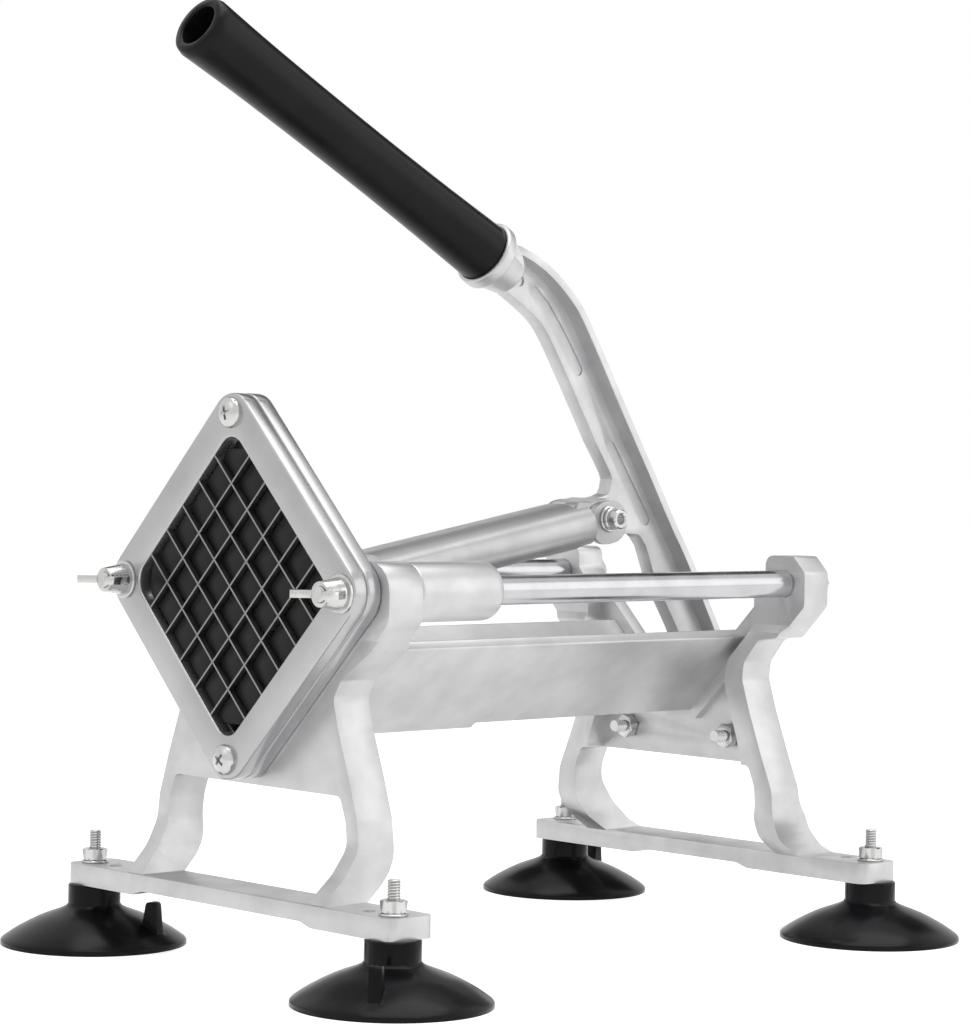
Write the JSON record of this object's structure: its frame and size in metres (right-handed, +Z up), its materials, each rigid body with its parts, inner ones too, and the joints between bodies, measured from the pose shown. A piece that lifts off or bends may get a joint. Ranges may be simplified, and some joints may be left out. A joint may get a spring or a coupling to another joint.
{
  "type": "french fry cutter",
  "caption": "Bench-top lever french fry cutter: a diamond frame with a square blade grid, a potato trough and a pusher block on guide rods, standing on suction cups",
  "frame": {"origin": "on the bench plane, midway between the four suction cups", "axes": "+X across the cutter towards the side the picture shows, -Y the way the fries come out, +Z up"},
  "size_m": [0.2492, 0.3288, 0.3582],
  "materials": {
    "cast_aluminium": "tumbled satin casting",
    "polished_rod": "ground and polished",
    "plated_steel": "bright zinc plating",
    "blade_steel": "ground stainless strip",
    "pusher_plastic": "moulded, semi-matte",
    "cup_rubber": "moulded rubber",
    "grip_vinyl": "dipped vinyl, soft sheen",
    "handle_steel": "plain steel tube"
  },
  "bodies": {
    "frame": {"front_frame": "cast_aluminium", "rear_frame": "cast_aluminium", "potato_trough": "cast_aluminium", "guide_rod_left": "polished_rod", "guide_rod_right": "polished_rod", "rod_end_nuts": "plated_steel", "wing_nut_washers": "plated_steel", "blade_plate_front": "cast_aluminium", "blade_plate_rear": "cast_aluminium", "blades_rising": "blade_steel", "blades_falling": "blade_steel", "blade_frame_screws": "plated_steel", "pivot_bracket": "cast_aluminium", "lever_pivot_bolt": "plated_steel", "lever_pivot_nut": "plated_steel", "bracket_bolts": "plated_steel", "bracket_nuts": "plated_steel", "suction_cup_front_left": "cup_rubber", "suction_cup_front_right": "cup_rubber", "suction_cup_rear_left": "cup_rubber", "suction_cup_rear_right": "cup_rubber", "foot_studs": "plated_steel", "foot_nuts": "plated_steel", "foot_washers": "plated_steel"},
    "lever": {"lever_arm": "cast_aluminium", "handle_tube": "handle_steel", "handle_grip": "grip_vinyl"},
    "link": {"push_link": "cast_aluminium", "link_bolt": "plated_steel", "link_bolt_nut": "plated_steel", "link_washers": "plated_steel"},
    "carriage": {"pusher_carriage": "cast_aluminium", "pusher_block": "pusher_plastic", "pusher_screws": "plated_steel", "clevis_pins": "plated_steel"},
    "wing_nut_l": {"wing_nut_left": "plated_steel"},
    "wing_nut_r": {"wing_nut_right": "plated_steel"}
  },
  "joints": [
    {"name": "lever_hinge", "type": "hinge", "parent": "frame", "child": "lever", "pos_m": [0, 0.1357, 0.08], "axis": [-1, 0, 0], "range_deg": [0, 66]},
    {"name": "carriage_slide", "type": "slide", "parent": "frame", "child": "carriage", "axis": [0, 1, 0], "range_m": [0, 0.1396]},
    {"name": "link_hinge", "type": "hinge", "parent": "lever", "child": "link", "pos_m": [0, 0.0492, 0.168], "axis": [-1, 0, 0], "range_deg": [-78.4, 0]},
    {"name": "wing_nut_left_turn", "type": "hinge", "parent": "frame", "child": "wing_nut_l", "pos_m": [-0.064, -0.141, 0.143], "axis": [0, 1, 0], "continuous": true},
    {"name": "wing_nut_right_turn", "type": "hinge", "parent": "frame", "child": "wing_nut_r", "pos_m": [0.064, -0.141, 0.143], "axis": [0, 1, 0], "continuous": true}
  ],
  "couplings": [
    {"joint": "carriage_slide", "follows": "lever_hinge", "m_per_rad": 0.12114},
    {"joint": "link_hinge", "follows": "lever_hinge", "ratio": -1.1861}
  ]
}
